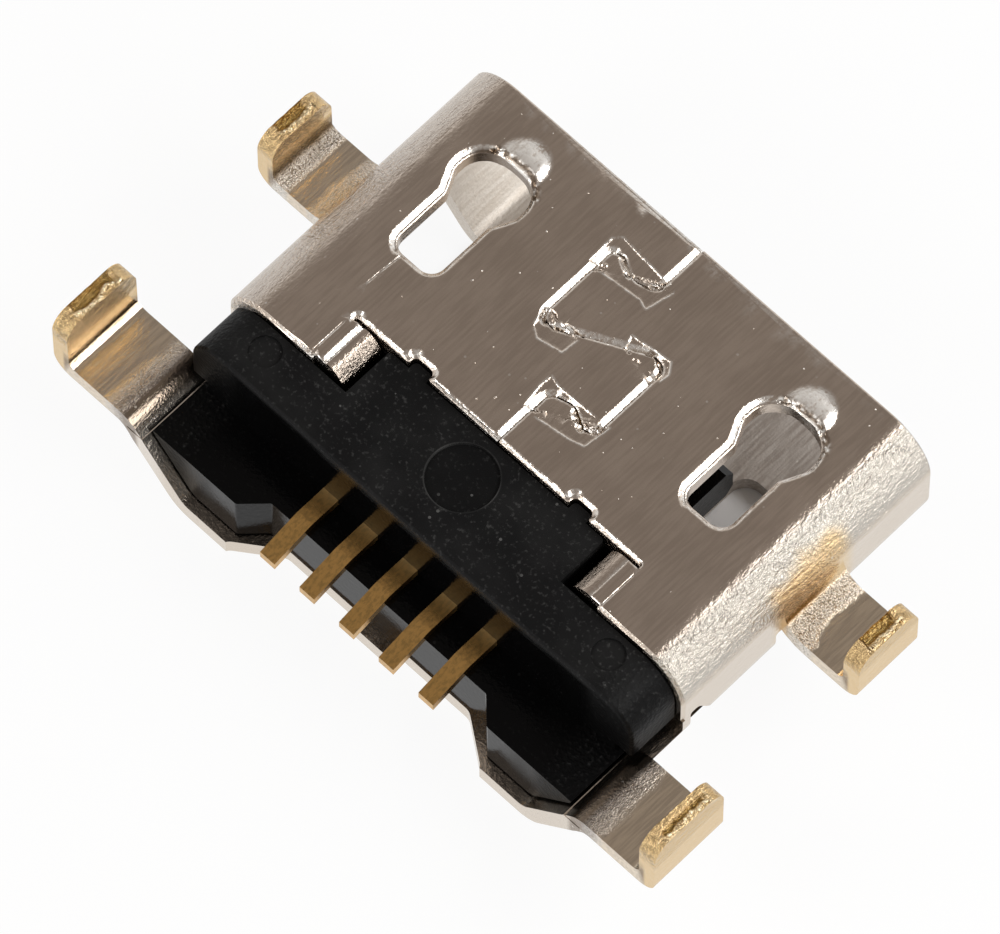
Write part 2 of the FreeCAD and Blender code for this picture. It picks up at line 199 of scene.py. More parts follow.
shellFinish = {
    "nickel": (0.60, 0.51, 0.43, 1.0),
    "nickelDark": (0.51, 0.43, 0.36, 1.0),
    # a lighter copy of the nickel on the side walls, painted light
    "litSideNickel": (0.67, 0.59, 0.50, 1.0),
    "litMinusNickel": (0.58, 0.54, 0.48, 1.0),  # lit copy of the nickel on the bend on the -X side, tinted for its highlight band
    # lit and shaded copies of the nickel inside the windows
    "litInsideNickel": (0.66, 0.60, 0.53, 1.0),
    "shadedInsideNickel": (0.43, 0.38, 0.34, 1.0),
    "gold": (0.71, 0.51, 0.26, 1.0),
    "cutGold": (0.44, 0.30, 0.115, 1.0),
    "foldShadeGold": (0.22, 0.14, 0.06, 1.0),  # painted shade inside the fold under each tip, and on the low spots of the ridges
    # lit copy of the gold, for the painted highlights on the tips
    "highlightGold": (1.0, 0.88, 0.62, 1.0),
    "goldBrown": (0.60, 0.50, 0.38, 1.0),
    "brushedGold": (0.77, 0.65, 0.49, 1.0),
    # dark brown of painted shade, and of the pits in the creases
    "shadeAndPitBrown": (0.16, 0.11, 0.07, 1.0),
    # pale metal, also the colour of the painted highlights
    "bright": (0.93, 0.90, 0.85, 1.0),
    "roughness": 0.19,
    "roughSpread": 0.12,
    "insideRougher": 0.4,
    "domeHighlightRougher": 0.26,
    "grain": {"Pit Scale": 26.0, "Streak Scale": 6.5, "Streak Share": 0.6, "Speck Size": 0.08},
    "crumpledGrain": {"Pit Scale": 46.0, "Streak Scale": 9.0, "Streak Share": 0.15, "Speck Size": 0.08},
    "grainHeight": 0.018,  # millimetres
    "flatGrain": 0.55,  # share of that height on the flat walls
    "bendGrain": 3.4,  # and on the bends of the sheet
    "creaseGrain": 1.9,  # and where a leg was folded hard
    "rootCrease": 0.45,  # share of the crease at the root of a leg; all of it at the -X front one
    # how far each finish covers what lies under it
    "shares": {"plusBend": 0.25, "brushing": 0.3, "specks": 0.5, "legs": 0.85, "rootReflectionAndShade": 0.8,
               "crease": 0.65, "headWall": 0.9, "dents": 0.45},
    # the limits of each zone, as zoneMasks takes them, in millimetres
    "zones": {
        "tips": (("upTip", 4.60, 4.74),),
        "underTip": (("unevenUp", 1.95, 1.60), ("out", 4.78, 4.72)),
        "ridges": (("up", 1.78, 1.9), ("out", 4.915, 4.89)),
        "legs": (("strayOut", 3.8, 4.15), ("up", 1.6, 1.38)),
        "frontLegs": (("offFrontLegs", 0.62, 0.5),),
        "tipFold": (("across", 4.38, 4.5), ("across", 4.72, 4.66)),
        "rootFold": (("out", 3.74, 3.82), ("strayOut", 4.12, 3.98)),
        "lowSheet": (("up", 1.7, 1.55),),
        "sideRootReflection": (("offFrontLegs", 0.75, 0.45), ("strayAcross", -3.45, -3.7), ("out", 4.1, 3.85)),
        "rearRootShade": (("strayOut", 4.04, 3.78), ("up", 1.8, 1.65), ("out", 3.5, 3.6), ("along", 0.45, 0.55)),
        "inside": (("up", 1.95, 1.85), ("out", 3.46, 3.42), ("along", -0.5, -0.7)),
        "plusHalf": (("across", -0.5, 0.5),),
        "sides": (("up", 2.2, 1.75),),
        "plusBend": (("across", 3.05, 3.3), ("up", 2.39, 2.3)),
        "minusBend": (("across", -3.05, -3.3), ("up", 2.39, 2.33), ("up", 1.75, 1.95)),
        "belowTop": (("up", 2.397, 2.33), ("up", 1.7, 1.85)),
        "bends": (("out", 3.02, 3.1),),
        "tabs": (("along", -0.8, -0.72), ("out", 2.7, 2.6)),
        # the painted highlight round each latch dome
        "domeHighlight": (("fromDome", 0.38, 0.2), ("up", 2.398, 2.43)),
        # the wall at the front of each window's head, which gets painted shade
        "headWall": (("up", 2.385, 2.35), ("up", 2.1, 2.14), ("along", -3.2, -3.28),
                     ("offWindow", 0.52, 0.46)),
    },
}


def shellMeasures(tree, place, grain):
    # the places that the zones are measured in; the stray ones wander a little
    axes = separate(tree, place)
    across, along, up = axes["X"], axes["Y"], axes["Z"]
    out = calc(tree, "ABSOLUTE", across)
    wander = calc(tree, "MULTIPLY_ADD", grain["Cloud"], 0.5, -0.25)
    raised = calc(tree, "SUBTRACT", up, shellPlaces["tipFoot"])
    fromDome = fromSpot(tree, out, along, shellPlaces["dome"])
    return {
        "across": across, "along": along, "up": up, "out": out,
        "strayAcross": calc(tree, "ADD", across, wander),
        "strayOut": calc(tree, "ADD", out, wander),
        "unevenUp": calc(tree, "MULTIPLY_ADD", grain["Height"], 0.5, up),
        "upTip": calc(tree, "MULTIPLY_ADD", wander, 0.3, calc(tree, "MULTIPLY_ADD", raised, 0.4, out)),
        "offFrontLegs": offMiddle(tree, along, shellPlaces["frontLegs"]),
        "offWindow": offMiddle(tree, across, shellPlaces["window"]),
        "fromDome": calc(tree, "MULTIPLY_ADD", wander, 0.4, fromDome),
    }


def makeShellMetal(name):
    material, tree = newMaterial(name)
    look, shares = shellFinish, shellFinish["shares"]
    place = millimetres(tree)
    grain = placeGrain(tree, place, look["grain"])
    crumpled = placeGrain(tree, place, look["crumpledGrain"])
    measures = shellMeasures(tree, place, grain)
    zones = zoneMasks(tree, measures, look["zones"])
    cut = addNode(tree, "ShaderNodeAttribute", attribute_name="cut").outputs["Fac"]
    wornAndHighlit = addNode(tree, "ShaderNodeAttribute", attribute_name="wornAndHighlit").outputs["Fac"]
    brushing = ramp(tree, grain["Brush"], 0.35, 0.68)
    patchy = ramp(tree, grain["Height"], 0.38, 0.58)
    specks = product(tree, grain["Specks"], shares["specks"])
    # shine: bright specks of the grain, and the painted highlights that this attribute holds
    shine = calc(tree, "MAXIMUM", specks, product(tree, wornAndHighlit, patchy))

    # hard creases: below the tip of the +X front leg, and at the roots
    minusFront = product(tree, zones["frontLegs"], calc(tree, "LESS_THAN", measures["across"], 0.0))
    atRoot = calc(tree, "MULTIPLY_ADD", minusFront, 1.0 - look["rootCrease"], look["rootCrease"])
    crease = calc(tree, "MAXIMUM", product(tree, zones["tipFold"], zones["frontLegs"]),
                  product(tree, zones["rootFold"], atRoot))
    crease = product(tree, crease, zones["lowSheet"])

    # nickel of the walls, with lit copies painted on the sides and bends, and painted light and shade inside
    # the windows
    worked = calc(tree, "MULTIPLY_ADD", grain["Brush"], 0.6, calc(tree, "MULTIPLY", grain["Cloud"], 0.4))
    nickel = mixColour(tree, ramp(tree, worked, 0.36, 0.64), look["nickelDark"], look["nickel"])
    # lit copies of the nickel, painted on the side walls and on the -X bend
    nickel = paint(tree, nickel, look["litSideNickel"], zones["sides"])
    # painted highlight on the bend on the +X side
    nickel = paint(tree, nickel, look["bright"], zones["plusBend"], shares["plusBend"])
    nickel = paint(tree, nickel, look["litMinusNickel"], zones["minusBend"])
    # inside the windows: painted light on the +X half, painted shade on the -X half
    within = mixColour(tree, zones["plusHalf"], look["shadedInsideNickel"], look["litInsideNickel"])
    within = paint(tree, within, look["bright"], brushing, shares["brushing"])
    nickel = paint(tree, nickel, within, zones["inside"])

    # stains on it, then painted reflection, highlights and shade, also on the torn rims, and the pitted
    # creases
    brown = mixColour(tree, brushing, look["goldBrown"], look["brushedGold"])
    brown = paint(tree, nickel, brown, zones["legs"], shares["legs"])
    # painted reflection of the gold tips on the side wall at the front legs' roots
    brown = paint(tree, brown, look["gold"], zones["sideRootReflection"], shares["rootReflectionAndShade"])
    # painted shade in the crease at the roots of the rear legs
    brown = paint(tree, brown, look["shadeAndPitBrown"], zones["rearRootShade"], shares["rootReflectionAndShade"])
    # crumpled creases: dark pits, and bright crests that are painted glints
    pitsAndGlints = mixColour(tree, ramp(tree, crumpled["Height"], 0.37, 0.51), look["shadeAndPitBrown"], look["bright"])
    brown = paint(tree, brown, pitsAndGlints, crease, shares["crease"])
    # painted highlight over each latch dome, made rougher below to soften it
    brown = paint(tree, brown, look["bright"], zones["domeHighlight"],
                  ramp(tree, grain["Height"], 0.38, 0.58, 0.45, 0.85))
    brown = paint(tree, brown, look["bright"], shine)
    # painted shade where the cut attribute marks the torn window rims
    brown = paint(tree, brown, look["shadeAndPitBrown"], cut)
    # painted shade on the wall at the front of each window's head
    brown = paint(tree, brown, look["shadeAndPitBrown"], zones["headWall"], shares["headWall"])

    # gold of the leg tips
    dents = product(tree, zones["ridges"], ramp(tree, grain["Height"], 0.55, 0.4), shares["dents"])
    # painted shade in the fold under each tip and in the low spots of the ridges
    gold = paint(tree, look["gold"], look["foldShadeGold"], calc(tree, "MAXIMUM", zones["underTip"], dents))
    # painted highlight on the ridge lumps of the tips, and bright specks
    gold = paint(tree, gold, look["highlightGold"], shine)
    gold = paint(tree, gold, look["cutGold"], cut)
    colour = mixColour(tree, zones["tips"], brown, gold)

    rough = calc(tree, "MULTIPLY_ADD", grain["Cloud"], look["roughSpread"],
                 look["roughness"] - look["roughSpread"] / 2)
    rough = calc(tree, "MULTIPLY_ADD", zones["inside"], look["insideRougher"], rough)
    rough = calc(tree, "MULTIPLY_ADD", zones["domeHighlight"], look["domeHighlightRougher"], rough)
    bent = product(tree, zones["belowTop"], calc(tree, "MAXIMUM", zones["bends"], zones["tabs"]))
    relief = ramp(tree, bent, 0.0, 1.0, look["flatGrain"], look["bendGrain"])
    raised = product(tree, calc(tree, "SUBTRACT", grain["Height"], 0.5), relief)
    creased = product(tree, crumpled["Height"], crease)
    raised = calc(tree, "MULTIPLY_ADD", creased, look["creaseGrain"], raised)
    coat(tree, colour, rough, raised, look["grainHeight"], 1.0)
    return material


housingFinish = {
    "black": (0.0016, 0.0016, 0.0017, 1.0),
    "matt": (0.0048, 0.0048, 0.0050, 1.0),
    "mottle": (0.011, 0.011, 0.011, 1.0),
    "dust": (0.080, 0.080, 0.078, 1.0),
    "dustShare": 0.42,
    "shinyDust": 0.1,  # share of the dust that stays off the matt faces
    "roughness": 0.27,
    "mattRougher": 0.3,
    "lobeShare": 0.65,  # the ends of the lobes are rough up to this share
    "polish": -0.15,  # the wall behind the tails is smoother, it mirrors them
    "specular": 0.10,
    "grain": {"Pit Scale": 19.0, "Streak Scale": 9.0, "Streak Share": 0.0, "Speck Size": 0.10},
    "grainHeight": 0.003,
    "lobeGrain": 5.0,  # times that much is added on the ends of the lobes
    "marks": (((0.0, -0.14), 0.45), ((2.80, -0.30), 0.21)),  # round marks: middle and radius
    "markEdge": 0.02,
    "markShare": 0.6,  # how black a mark is
    "ring": (-0.012, 0.002, 0.004, 0.022),  # the painted highlight line round a mark starts, is full, fades and ends here
    "zones": {
        "top": (("up", 2.12, 2.24),),  # matt from its mould
        "lobeEnds": (("out", 2.75, 3.05),),
        "tailWall": (("up", 2.1, 2.0), ("along", 0.2, 0.3), ("out", 2.6, 2.3)),
    },
}


def makeHousingPlastic(name):
    material, tree = newMaterial(name)
    look = housingFinish
    place = millimetres(tree)
    grain = placeGrain(tree, place, look["grain"])
    axes = separate(tree, place)
    along, out = axes["Y"], calc(tree, "ABSOLUTE", axes["X"])
    zones = zoneMasks(tree, {"along": along, "up": axes["Z"], "out": out}, look["zones"])
    onMatt = calc(tree, "MULTIPLY_ADD", zones["top"], 1.0 - look["shinyDust"], look["shinyDust"])
    roughShare = calc(tree, "MAXIMUM", zones["top"], product(tree, zones["lobeEnds"], look["lobeShare"]))
    onRough = calc(tree, "MULTIPLY_ADD", roughShare, 1.0 - look["shinyDust"], look["shinyDust"])
    base = mixColour(tree, zones["top"], look["black"], look["matt"])
    base = paint(tree, base, look["mottle"], zones["top"], ramp(tree, grain["Cloud"], 0.35, 0.75))
    dustAndRingHighlight = product(tree, ramp(tree, grain["Height"], 0.55, 0.78), look["dustShare"], onRough)
    for middle, radius in look["marks"]:
        # a darker disc with a fine lighter line round it, a painted highlight
        away = fromSpot(tree, out, along, middle)
        begin, full, fade, end = (radius + offset for offset in look["ring"])
        dustAndRingHighlight = product(tree, dustAndRingHighlight, ramp(tree, away, radius - look["markEdge"], radius, 0.45, 1.0))
        base = paint(tree, base, look["black"], ramp(tree, away, radius, radius - look["markEdge"]),
                     look["markShare"])
        ring = product(tree, ramp(tree, away, begin, full), ramp(tree, away, end, fade),
                       ramp(tree, grain["Cloud"], 0.4, 0.6, 0.1, 0.6), zones["top"])
        dustAndRingHighlight = calc(tree, "MAXIMUM", dustAndRingHighlight, ring)
    flecks = product(tree, grain["Specks"], onMatt)
    colour = paint(tree, base, look["dust"], calc(tree, "MAXIMUM", dustAndRingHighlight, flecks))
    rough = calc(tree, "MULTIPLY_ADD", roughShare, look["mattRougher"], look["roughness"])
    rough = calc(tree, "MULTIPLY_ADD", zones["tailWall"], look["polish"], rough)
    relief = calc(tree, "MULTIPLY_ADD", zones["lobeEnds"], look["lobeGrain"], 1.0)
    raised = product(tree, grain["Height"], relief)
    coat(tree, colour, rough, raised, look["grainHeight"], 0.0, look["specular"])
    return material


contactFinish = {
    "gold": (0.66, 0.39, 0.13, 1.0),
    "goldDark": (0.47, 0.29, 0.10, 1.0),
    "litPaleGold": (1.0, 0.74, 0.36, 1.0),
    "roughness": 0.26,
    "wall": 0.45,  # the tails leave the housing here, paler and duller than further out; the paleness is painted light
    "wallRoughness": 0.7,
    "dullLength": 0.6,
    "litPaleLength": 0.5,
    "litPaleShare": 0.85,
    "grain": {"Pit Scale": 18.0, "Streak Scale": 12.0, "Streak Share": 0.6, "Speck Size": 0.05},
    "grainHeight": 0.002,
}


def makeContactGold(name):
    material, tree = newMaterial(name)
    look, wall = contactFinish, contactFinish["wall"]
    place = millimetres(tree)
    grain = placeGrain(tree, place, look["grain"])
    along = separate(tree, place)["Y"]
    colour = mixColour(tree, ramp(tree, grain["Height"], 0.38, 0.58), look["goldDark"], look["gold"])
    # painted light: paler gold near the housing wall
    colour = paint(tree, colour, look["litPaleGold"], ramp(tree, along, wall + look["litPaleLength"], wall),
                   look["litPaleShare"])
    rough = ramp(tree, along, wall, wall + look["dullLength"], look["wallRoughness"], look["roughness"])
    coat(tree, colour, rough, grain["Height"], look["grainHeight"], 1.0)
    return material


shellMetal = makeShellMetal("platedShellMetal")
housingPlastic = makeHousingPlastic("mouldedBlackPlastic")
contactGold = makeContactGold("platedContactGold")


def addObject(name, data):
    item = bpy.data.objects.new(name, data)
    bpy.context.collection.objects.link(item)
    return item


def setMaterial(piece, material):
    piece.data.materials.clear()
    piece.data.materials.append(material)
    for face in piece.data.polygons:
        face.material_index = 0


for nodeName, node in cadNodes.items():
    finish = {"shell": shellMetal, "housing": housingPlastic}.get(nodeName, contactGold)
    node.material_slots[0].material = finish
print("finishes on the packed pieces")


# shell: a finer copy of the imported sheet, with the seam, the pressed marks and the latch domes worked in

shellSkin = {
    "top": 2.40,  # height of the top wall, millimetres
    "seamArea": ((-0.9, 0.9), (-4.19, -0.75)),  # the seam's edges lie in here
    "punchedArea": ((-3.02, 3.02), (-4.1, 1.0)),  # and so do the other edges of the top wall
    "slitStep": 0.022,  # spacing of the points along the seam
    "slitRows": (0.007, 0.016, 0.027, 0.04, 0.055, 0.068, 0.08, 0.1),
    "slitClose": 0.006,  # the two halves lean this far together at the top
    "slitRolledLit": 0.076,  # width of the rolled edges that look towards -X, on the seam; they carry a painted highlight
    "rimStep": 0.045,  # spacing of the points along the punched windows
    "rimRows": (0.01, 0.022, 0.036, 0.052, 0.068, 0.08, 0.092, 0.11),
    "rimJitter": 0.008,
    "rimRolledLit": 0.068,
    "rolledLitSlope": 0.62,
    "plainEdge": 0.03,  # the other edges are rolled over only this far
    "plainDrop": 0.012,
    "tornEdge": 0.06,  # the front of a window's head is torn and uneven
    "tornDrop": (0.02, 0.06),
    "pressStep": 0.03,
    "pressDepth": 0.034,
    "lineStep": 0.02,  # spacing of the points along the outer line of a pressed facet
    "lineWidth": 0.022,  # half width of the painted highlight along that line, and of a scored one
    "scoreStep": 0.03,
    "scoreDepth": 0.012,
    "markRows": (-0.022, -0.011, 0.0, 0.011, 0.022),
    "domeHeight": 0.068,
    "domeReach": 0.34,
    "restGrid": 0.13,  # spacing of the points elsewhere, which keep clear of the edges
    "restArea": ((-3.0, 3.01), (-4.1, -0.02)),
    "clear": 0.12,
    "slack": 0.003,  # a point this far past a line still counts as on it
    # each pressed facet: its outer line, then the stretch of seam it falls towards
    "presses": (
        (((0.88, -3.15), (0.88, -3.56), (0.79, -3.66), (-0.04, -3.59)),
         ((0.02, -3.55), (0.22, -3.43), (0.44, -3.49), (0.63, -3.44), (0.76, -3.23), (0.76, -3.10))),
        (((0.67, -3.14), (0.08, -3.20), (-0.06, -3.15), (-0.15, -3.55)),
         ((0.0, -3.58), (0.04, -3.51), (0.22, -3.43), (0.44, -3.49), (0.63, -3.44), (0.76, -3.23))),
        (((0.83, -2.38), (0.75, -2.09), (0.60, -2.00), (0.25, -2.07), (0.23, -2.32)),
         ((0.19, -2.40), (0.56, -2.27), (0.74, -2.37))),
        (((-0.21, -2.66), (-0.17, -2.81), (-0.75, -2.88), (-0.85, -2.74), (-0.83, -2.60)),
         ((-0.77, -2.49), (-0.73, -2.71), (-0.57, -2.78), (-0.16, -2.62))),
        (((0.11, -1.27), (0.15, -1.59), (0.14, -1.78), (0.0, -1.74), (-0.67, -1.75)),
         ((-0.76, -1.68), (-0.59, -1.58), (-0.30, -1.66), (-0.10, -1.59), (0.0, -1.45), (0.0, -1.27))),
        (((-0.10, -1.25), (-0.60, -1.32), (-0.79, -1.38), (-0.83, -1.76)),
         ((-0.76, -1.68), (-0.59, -1.58), (-0.30, -1.66), (-0.10, -1.59), (0.0, -1.45), (0.0, -1.30))),
    ),
    # scored lines beside the retaining tabs
    "scores": (((2.37, -0.12), (2.37, -0.60)), ((2.20, -0.72), (2.37, -0.66)),
               ((-2.34, -0.06), (-2.34, -0.62)), ((-2.14, -0.08), (-2.14, -0.60)),
               ((2.49, -1.68), (2.52, -1.36), (2.53, -1.12))),
}


def awayFrom(points, line):
    # distance from each point to the nearest piece of the line
    best = np.full(len(points), 1e9)
    for start, end in zip(line[:-1], line[1:]):
        a, b = np.array(start, float), np.array(end, float)
        along = np.clip(((points - a) @ (b - a)) / max((b - a) @ (b - a), 1e-12), 0, 1)
        best = np.minimum(best, np.hypot(*(points - a - along[:, None] * (b - a)).T))
    return best


def insideOf(points, corners):
    hits = np.zeros(len(points), bool)
    for (x1, y1), (x2, y2) in zip(corners, corners[1:] + corners[:1]):
        if y1 == y2:
            continue
        crosses = ((y1 > points[:, 1]) != (y2 > points[:, 1]))
        hits ^= crosses & (points[:, 0] < (x2 - x1) * (points[:, 1] - y1) / (y2 - y1) + x1)
    return hits


def smooth(value):
    value = np.clip(value, 0, 1)
    return value * value * (3 - 2 * value)


def speckle(points, scale, layer):
    return np.array([noise.noise(Vector((x * scale[0], y * scale[1], layer))) for x, y in points])


def gridPoints(area, step):
    (left, right), (front, back) = area
    return np.array([(x, y) for x in np.arange(left, right, step) for y in np.arange(front, back, step)])


def skinFaces(work):
    return [face for face in work.faces if min(v.co.z for v in face.verts) > shellSkin["top"] * mm - 3e-7]


def skinRim(faces):
    inside = set(faces)
    edges = {edge for face in faces for edge in face.edges}
    return [edge for edge in edges if sum(face in inside for face in edge.link_faces) == 1]


def liesIn(edge, area):
    (left, right), (front, back) = area
    places = [v.co / mm for v in edge.verts]
    return all(left < p.x < right and front < p.y < back for p in places)


def isSlit(edge):
    return liesIn(edge, shellSkin["seamArea"])


def isPunched(edge):
    return not isSlit(edge) and liesIn(edge, shellSkin["punchedArea"])


def nearEdges(points, edges):
    near = np.full(len(points), 1e9)
    for start, end, inward in edges:
        near = np.minimum(near, awayFrom(points, [start, end]))
    return near


def nearOwnEdges(points, edges):
    # as nearEdges, but only from the metal's side of each edge
    near = np.full(len(points), 1e9)
    for start, end, inward in edges:
        away = awayFrom(points, [start, end])
        near = np.where((points - start) @ inward > -shellSkin["slack"], np.minimum(near, away), near)
    return near


def edgeKind(edge):
    start, end, inward = edge
    # edges that look towards -X are rolled further and carry a painted highlight
    if inward[0] > 0.45:
        return "rolledLit"
    return "torn" if inward[1] < -0.5 and start[1] < -3.1 and abs(start[0]) > 1 else "plain"


def nearKind(points, edges, kind):
    return nearOwnEdges(points, [edge for edge in edges if edgeKind(edge) == kind])


def rowsBeside(edges, rows, step):
    points = []
    for start, end, inward in edges:
        count = max(1, round(np.hypot(*(end - start)) / step))
        for t in (np.arange(count) + 0.5) / count:
            for offset in rows:
                points.append(np.append(start + (end - start) * t + inward * offset, offset))
    points = np.array(points)
    return points[nearEdges(points[:, :2], edges) > points[:, 2] - shellSkin["slack"], :2]


def rowsAlong(line, rows, step):
    points = []
    for start, end in zip(line[:-1], line[1:]):
        a, b = np.array(start, float), np.array(end, float)
        length = np.hypot(*(b - a))
        side = np.array((b[1] - a[1], a[0] - b[0])) / length
        for t in np.arange(0, length, step) / length:
            points += [a + (b - a) * t + side * offset for offset in rows]
    return np.array(points)


def domeMiddle(side):
    across, along = shellPlaces["dome"]
    return np.array((side * across, along))


def domeSpot(points, side):
    # place on a latch dome, and distance from its middle, as shares of its reach
    across, along = ((points - domeMiddle(side)) / shellSkin["domeReach"]).T
    return across, along, np.hypot(across, along)


def skinPoints(slit, punched):
    sizes = shellSkin
    clear, rows = sizes["clear"], sizes["markRows"]
    sets = [rowsBeside(slit, sizes["slitRows"], sizes["slitStep"]),
            rowsBeside(punched, sizes["rimRows"], sizes["rimStep"])]
    rest = gridPoints(sizes["restArea"], sizes["restGrid"])
    kept = (nearEdges(rest, slit) > clear) & (nearEdges(rest, punched) > clear)
    for outer, seam in sizes["presses"]:
        kept &= awayFrom(rest, outer) > 0.05
    sets.append(rest[kept])
    for outer, seam in sizes["presses"]:
        corners = list(outer) + list(seam)[::-1]
        sets.append(rowsAlong(outer, rows, sizes["lineStep"]))
        grid = gridPoints([(min(values), max(values)) for values in zip(*corners)], sizes["pressStep"])
        kept = insideOf(grid, corners) & (nearEdges(grid, slit) > 0.11) & (awayFrom(grid, outer) > 0.03)
        sets.append(grid[kept])
    for line in sizes["scores"]:
        sets.append(rowsAlong(line, rows, sizes["scoreStep"]))
    for side in (-1, 1):
        for radius in np.arange(0.02, sizes["domeReach"] + 0.1, 0.03):
            turns = np.arange(0, 2 * math.pi, 0.035 / radius)
            sets.append(domeMiddle(side) + radius * np.column_stack((np.cos(turns), np.sin(turns))))
    return np.vstack(sets)


def skinHeight(points, slit, punched):
    sizes = shellSkin
    height = np.zeros(len(points))
    for edges, width in ((slit, sizes["slitRolledLit"]), (punched, sizes["rimRolledLit"])):
        away = nearKind(points, edges, "rolledLit")
        height -= sizes["rolledLitSlope"] * np.clip(width - away, 0, None)
        over = np.clip(1 - nearKind(points, edges, "plain") / sizes["plainEdge"], 0, 1)
        height -= sizes["plainDrop"] * over * over
    over = np.clip(1 - nearKind(points, punched, "torn") / sizes["tornEdge"], 0, 1)
    least, more = sizes["tornDrop"]
    height -= over * (least + more * np.abs(speckle(points, (17, 17), 0)))
    for outer, seam in sizes["presses"]:
        outside, toSeam = awayFrom(points, outer), awayFrom(points, seam)
        fall = 0.4 * smooth(outside / 0.03) + 0.6 * outside / (outside + toSeam + 1e-6)
        height -= sizes["pressDepth"] * fall * insideOf(points, list(outer) + list(seam)[::-1])
    for line in sizes["scores"]:
        height -= sizes["scoreDepth"] * smooth(1 - awayFrom(points, line) / sizes["lineWidth"])
    for side in (-1, 1):
        # a dome is soft all round, and steep on the side that catches the light
        across, along, out = domeSpot(points, side)
        lit = smooth(-0.3 - 1.4 * (across - 0.2 * along) / np.maximum(out, 1e-3))
        soft = np.clip(1 - out * out, 0, 1) ** 1.5
        steep = np.clip((1.03 - out) * sizes["domeReach"] * 0.64 / sizes["domeHeight"], 0, 1)
        height += sizes["domeHeight"] * (soft + (steep - soft) * lit)
    return height


def skinWearAndHighlights(points, slit, punched):
    # how bright the metal is painted: painted highlights along the seam's edges, the marks, the punched rims
    # and the domes, and bright speckles at the mouth
    sizes = shellSkin
    wearAndHighlight = np.zeros(len(points))
    for edges, width in ((slit, sizes["slitRolledLit"]), (punched, sizes["rimRolledLit"])):
        # a painted highlight on the rolled edges that look towards -X, and a weaker one on the other edges
        wearAndHighlight = np.maximum(wearAndHighlight, smooth(4 * (1 - nearKind(points, edges, "rolledLit") / width)))
        plain = smooth(1 - nearKind(points, edges, "plain") / sizes["plainEdge"])
        wearAndHighlight = np.maximum(wearAndHighlight, 0.7 * plain)
    bits = speckle(points, (14, 14), 8)
    torn = smooth(1.5 - nearKind(points, punched, "torn") / sizes["tornEdge"])
    # bright bits on the torn rims are painted glints
    wearAndHighlight = np.maximum(wearAndHighlight, 1.5 * torn * (bits > 0.12))
    # painted highlight along the outer lines of the pressed facets and along the scored lines
    for line in [outer for outer, seam in sizes["presses"]] + list(sizes["scores"]):
        wearAndHighlight = np.maximum(wearAndHighlight, smooth(1 - awayFrom(points, line) / sizes["lineWidth"]))
    # painted highlight on the side of each dome that faces the light, and a softer one over its cap
    for side in (-1, 1):
        across, along, out = domeSpot(points, side)
        lit = smooth(0.5 + 0.9 * (-across - 0.3 * along)) * smooth((1.12 - out) / 0.3)
        wearAndHighlight = np.maximum(wearAndHighlight, (1.8 * lit + 0.6 * smooth((1.05 - out) / 0.3)) * (1 - torn))
    mouth = 1.6 * np.clip(speckle(points, (5, 9), 3), 0, 0.5) * smooth((-3.97 - points[:, 1]) / 0.1)
    # the second value holds the torn rims' dark bits, painted shade
    return np.maximum(wearAndHighlight, mouth), 0.85 * torn * (bits < 0.08)


def placeKey(place):
    return tuple(round(c * 1e6) for c in place)


def packedNormals(mesh):
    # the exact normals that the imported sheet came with, by place
    known = {}
    for face in mesh.polygons:
        for loop in face.loop_indices:
            key = placeKey(mesh.vertices[mesh.loops[loop].vertex_index].co)
            known.setdefault(key, []).append((face.normal.copy(), Vector(mesh.corner_normals[loop].vector)))
    return known


def cornerNormals(work, known, rest, skinLayer, folded):
    skin = [Vector((0, 0, 0)) for v in work.verts]
    for face in work.faces:
        if face[skinLayer]:
            area = face.calc_area()
            for v in face.verts:
                skin[v.index] += face.normal * area
    normals = []
    for face in work.faces:
        for loop in face.loops:
            v = loop.vert
            key = placeKey(rest.get(v.index, v.co))
            if face[skinLayer]:
                normals.append(skin[v.index].normalized())
            elif key in known:
                normals.append(max(known[key], key=lambda pair: pair[0].dot(face.normal))[1])
            else:
                near = [f for f in v.link_faces if f.normal.dot(face.normal) > (0.9 if v in folded else 0.6)]
                normals.append(sum((f.normal * f.calc_area() for f in near), Vector((0, 0, 0))).normalized())
    return normals


tipShape = {
    "inner": 4.6,  # the cut tops of the tips lie further out and higher than this
    "low": 1.9,
    "reach": 4.918,  # and nothing of them goes further out than this
    "step": 0.05,  # spacing of the points round the cut
    "round": 0.045,  # rounding of the cut
    "grid": 0.017,  # spacing of the points on the cut
    "sink": 0.05,  # how deep the torn hollow in the cut lies
    "ridge": 0.06,  # height of the lumps beside the hollow
    "lumps": 0.014,
    "hollow": (-0.3, 0.62),  # the hollow's two sides, as shares of the cut from its +X side
    "middleHollow": (0.34, 0.72),  # the same on the rear leg of the -X side
    "sway": 0.22,  # how far the side towards the ridge wanders, as a share
    "flank": 0.16,  # how wide the hollow's sides slope, as a share
    "beadStep": 0.022,  # spacing of the beads along the ridge
    "beadReach": 4.875,
    # below a +X tip the inner bend is a flat fold: the bend, and where its quarter turn goes instead
    "bendZone": ((4.5, 4.675), (1.297, 1.425)),
    "bendMiddle": (4.55, 1.42),
    "bendRadius": 0.12,
    "foldTurns": (0.0, 0.25, 1.0),
    "foldAcross": (4.50, 4.58, 4.664975),
    "foldUp": (1.30, 1.31, 1.3631),
}


def isCut(face):
    places = [v.co / mm for v in face.verts]
    return (face.normal.z > 0.99 and min(abs(p.x) for p in places) > tipShape["inner"]
            and min(p.z for p in places) > tipShape["low"])


def cutRim(work):
    return skinRim([f for f in work.faces if isCut(f)])


